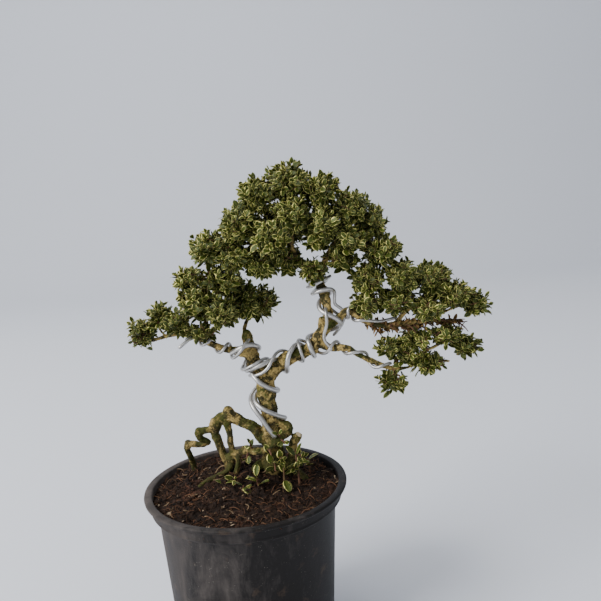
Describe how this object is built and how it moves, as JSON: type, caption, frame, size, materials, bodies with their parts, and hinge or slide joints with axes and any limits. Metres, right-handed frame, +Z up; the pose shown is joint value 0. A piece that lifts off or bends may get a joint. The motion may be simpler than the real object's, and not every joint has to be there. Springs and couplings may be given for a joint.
{
  "type": "potted bonsai tree",
  "caption": "Small wired bonsai tree with tiny variegated leaves and exposed roots, planted in a plain black nursery pot full of dark soil.",
  "frame": {"origin": "centre of the pot's flat underside, on the surface it stands on", "axes": "+Z up along the pot's axis, +X towards the long right-hand limb, -Y towards the front of the tree"},
  "size_m": [0.2206, 0.125, 0.3012],
  "materials": {
    "pot_plastic": "matte",
    "soil": "rough",
    "bark": "rough",
    "wire_aluminium": "satin",
    "leaf": "satin"
  },
  "bodies": {
    "root": {"foliage_crown_back": "leaf", "foliage_crown_centre_right": "leaf", "foliage_crown_east": "leaf", "foliage_crown_fork": "leaf", "foliage_crown_front": "leaf", "foliage_crown_gap_edge": "leaf", "foliage_crown_gap_top": "leaf", "foliage_crown_heart": "leaf", "foliage_crown_low": "leaf", "foliage_crown_low_inner": "leaf", "foliage_crown_right": "leaf", "foliage_crown_right_inner": "leaf", "foliage_crown_right_low": "leaf", "foliage_crown_shoulder": "leaf", "foliage_crown_top": "leaf", "foliage_crown_top_right": "leaf", "foliage_crown_west": "leaf", "foliage_crown_west_high": "leaf", "foliage_crown_west_low": "leaf", "foliage_left_back": "leaf", "foliage_left_front": "leaf", "foliage_left_high": "leaf", "foliage_left_high_inner": "leaf", "foliage_left_inner": "leaf", "foliage_left_inner_back": "leaf", "foliage_left_low": "leaf", "foliage_left_mid": "leaf", "foliage_left_side": "leaf", "foliage_left_tip": "leaf", "foliage_lower_far": "leaf", "foliage_lower_high": "leaf", "foliage_lower_inner": "leaf", "foliage_lower_inner_far": "leaf", "foliage_lower_low": "leaf", "foliage_lower_mid": "leaf", "foliage_lower_reach": "leaf", "foliage_right_far": "leaf", "foliage_right_high": "leaf", "foliage_right_inner": "leaf", "foliage_right_low": "leaf", "foliage_right_low_inner": "leaf", "foliage_right_mid": "leaf", "foliage_right_tip": "leaf", "foliage_right_under": "leaf", "foliage_right_upper_far": "leaf", "pot": "pot_plastic", "soil": "soil", "sprout_back_right": "leaf", "sprout_front": "leaf", "sprout_high": "leaf", "sprout_left": "leaf", "sprout_low_left": "leaf", "sprout_right": "leaf", "tree_wood": "bark", "wire_left_branch": "wire_aluminium", "wire_lower": "wire_aluminium", "wire_right_end": "wire_aluminium", "wire_trunk_left": "wire_aluminium", "wire_trunk_right": "wire_aluminium", "wire_upright": "wire_aluminium"}
  },
  "joints": []
}
